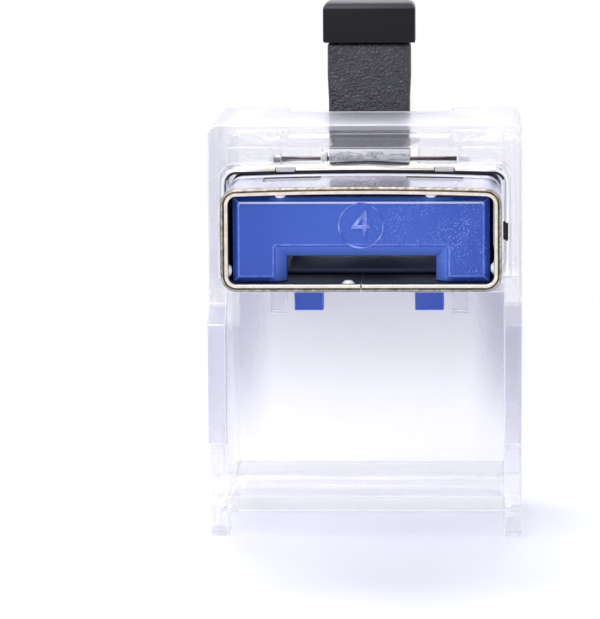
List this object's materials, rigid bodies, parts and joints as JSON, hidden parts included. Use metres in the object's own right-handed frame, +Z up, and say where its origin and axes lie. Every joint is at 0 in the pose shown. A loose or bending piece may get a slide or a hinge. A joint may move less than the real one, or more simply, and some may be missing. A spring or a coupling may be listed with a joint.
{
  "type": "lever wire connector",
  "caption": "Clear-framed wire connector: sheet-metal entry with a moulded wire guide, and a folding lever that opens cage clamp springs on a busbar.",
  "frame": {"origin": "on the plane of the feet's soles, under the middle of the connector's box", "axes": "+Z up, +X to the right seen from the wire entry, +Y from the wire entry towards the back"},
  "size_m": [0.0138, 0.0216, 0.0235],
  "materials": {
    "clear_plastic": "clear moulded polycarbonate, glossy",
    "nickel_sheet": "nickel-plated sheet, bright",
    "blue_plastic": "moulded nylon, satin",
    "tinned_copper": "tinned copper, satin",
    "stainless": "spring steel, bright",
    "grey_plastic": "glass-filled nylon, pebbled",
    "cap_plastic": "moulded nylon, smooth satin",
    "white_plastic": "acetal, satin",
    "black_rubber": "moulded rubber, matt"
  },
  "bodies": {
    "frame": {"housing": "clear_plastic", "rear_cover": "clear_plastic", "contact_shell": "nickel_sheet", "collar": "nickel_sheet", "seal": "black_rubber", "slot_plug_left": "black_rubber", "slot_plug_right": "black_rubber", "wire_guide": "blue_plastic", "busbar": "tinned_copper", "lever_axle": "stainless", "lever_bush": "white_plastic"},
    "lever": {"lever": "grey_plastic", "lever_cap": "cap_plastic", "hub_plate": "stainless"},
    "spring_left": {"clamp_spring_left": "stainless"},
    "spring_right": {"clamp_spring_right": "stainless"}
  },
  "joints": [
    {"name": "lever_hinge", "type": "hinge", "parent": "frame", "child": "lever", "pos_m": [0, 0.00417, 0.01608], "axis": [-1, 0, 0], "range_deg": [0, 90]},
    {"name": "spring_left_flex", "type": "hinge", "parent": "frame", "child": "spring_left", "pos_m": [-0.00155, -0.00232, 0.01461], "axis": [1, 0, 0], "range_deg": [0, 8]},
    {"name": "spring_right_flex", "type": "hinge", "parent": "frame", "child": "spring_right", "pos_m": [0.00155, -0.00232, 0.01461], "axis": [1, 0, 0], "range_deg": [0, 8]}
  ],
  "couplings": [
    {"joint": "spring_left_flex", "follows": "lever_hinge", "ratio": 0.088889},
    {"joint": "spring_right_flex", "follows": "lever_hinge", "ratio": 0.088889}
  ]
}
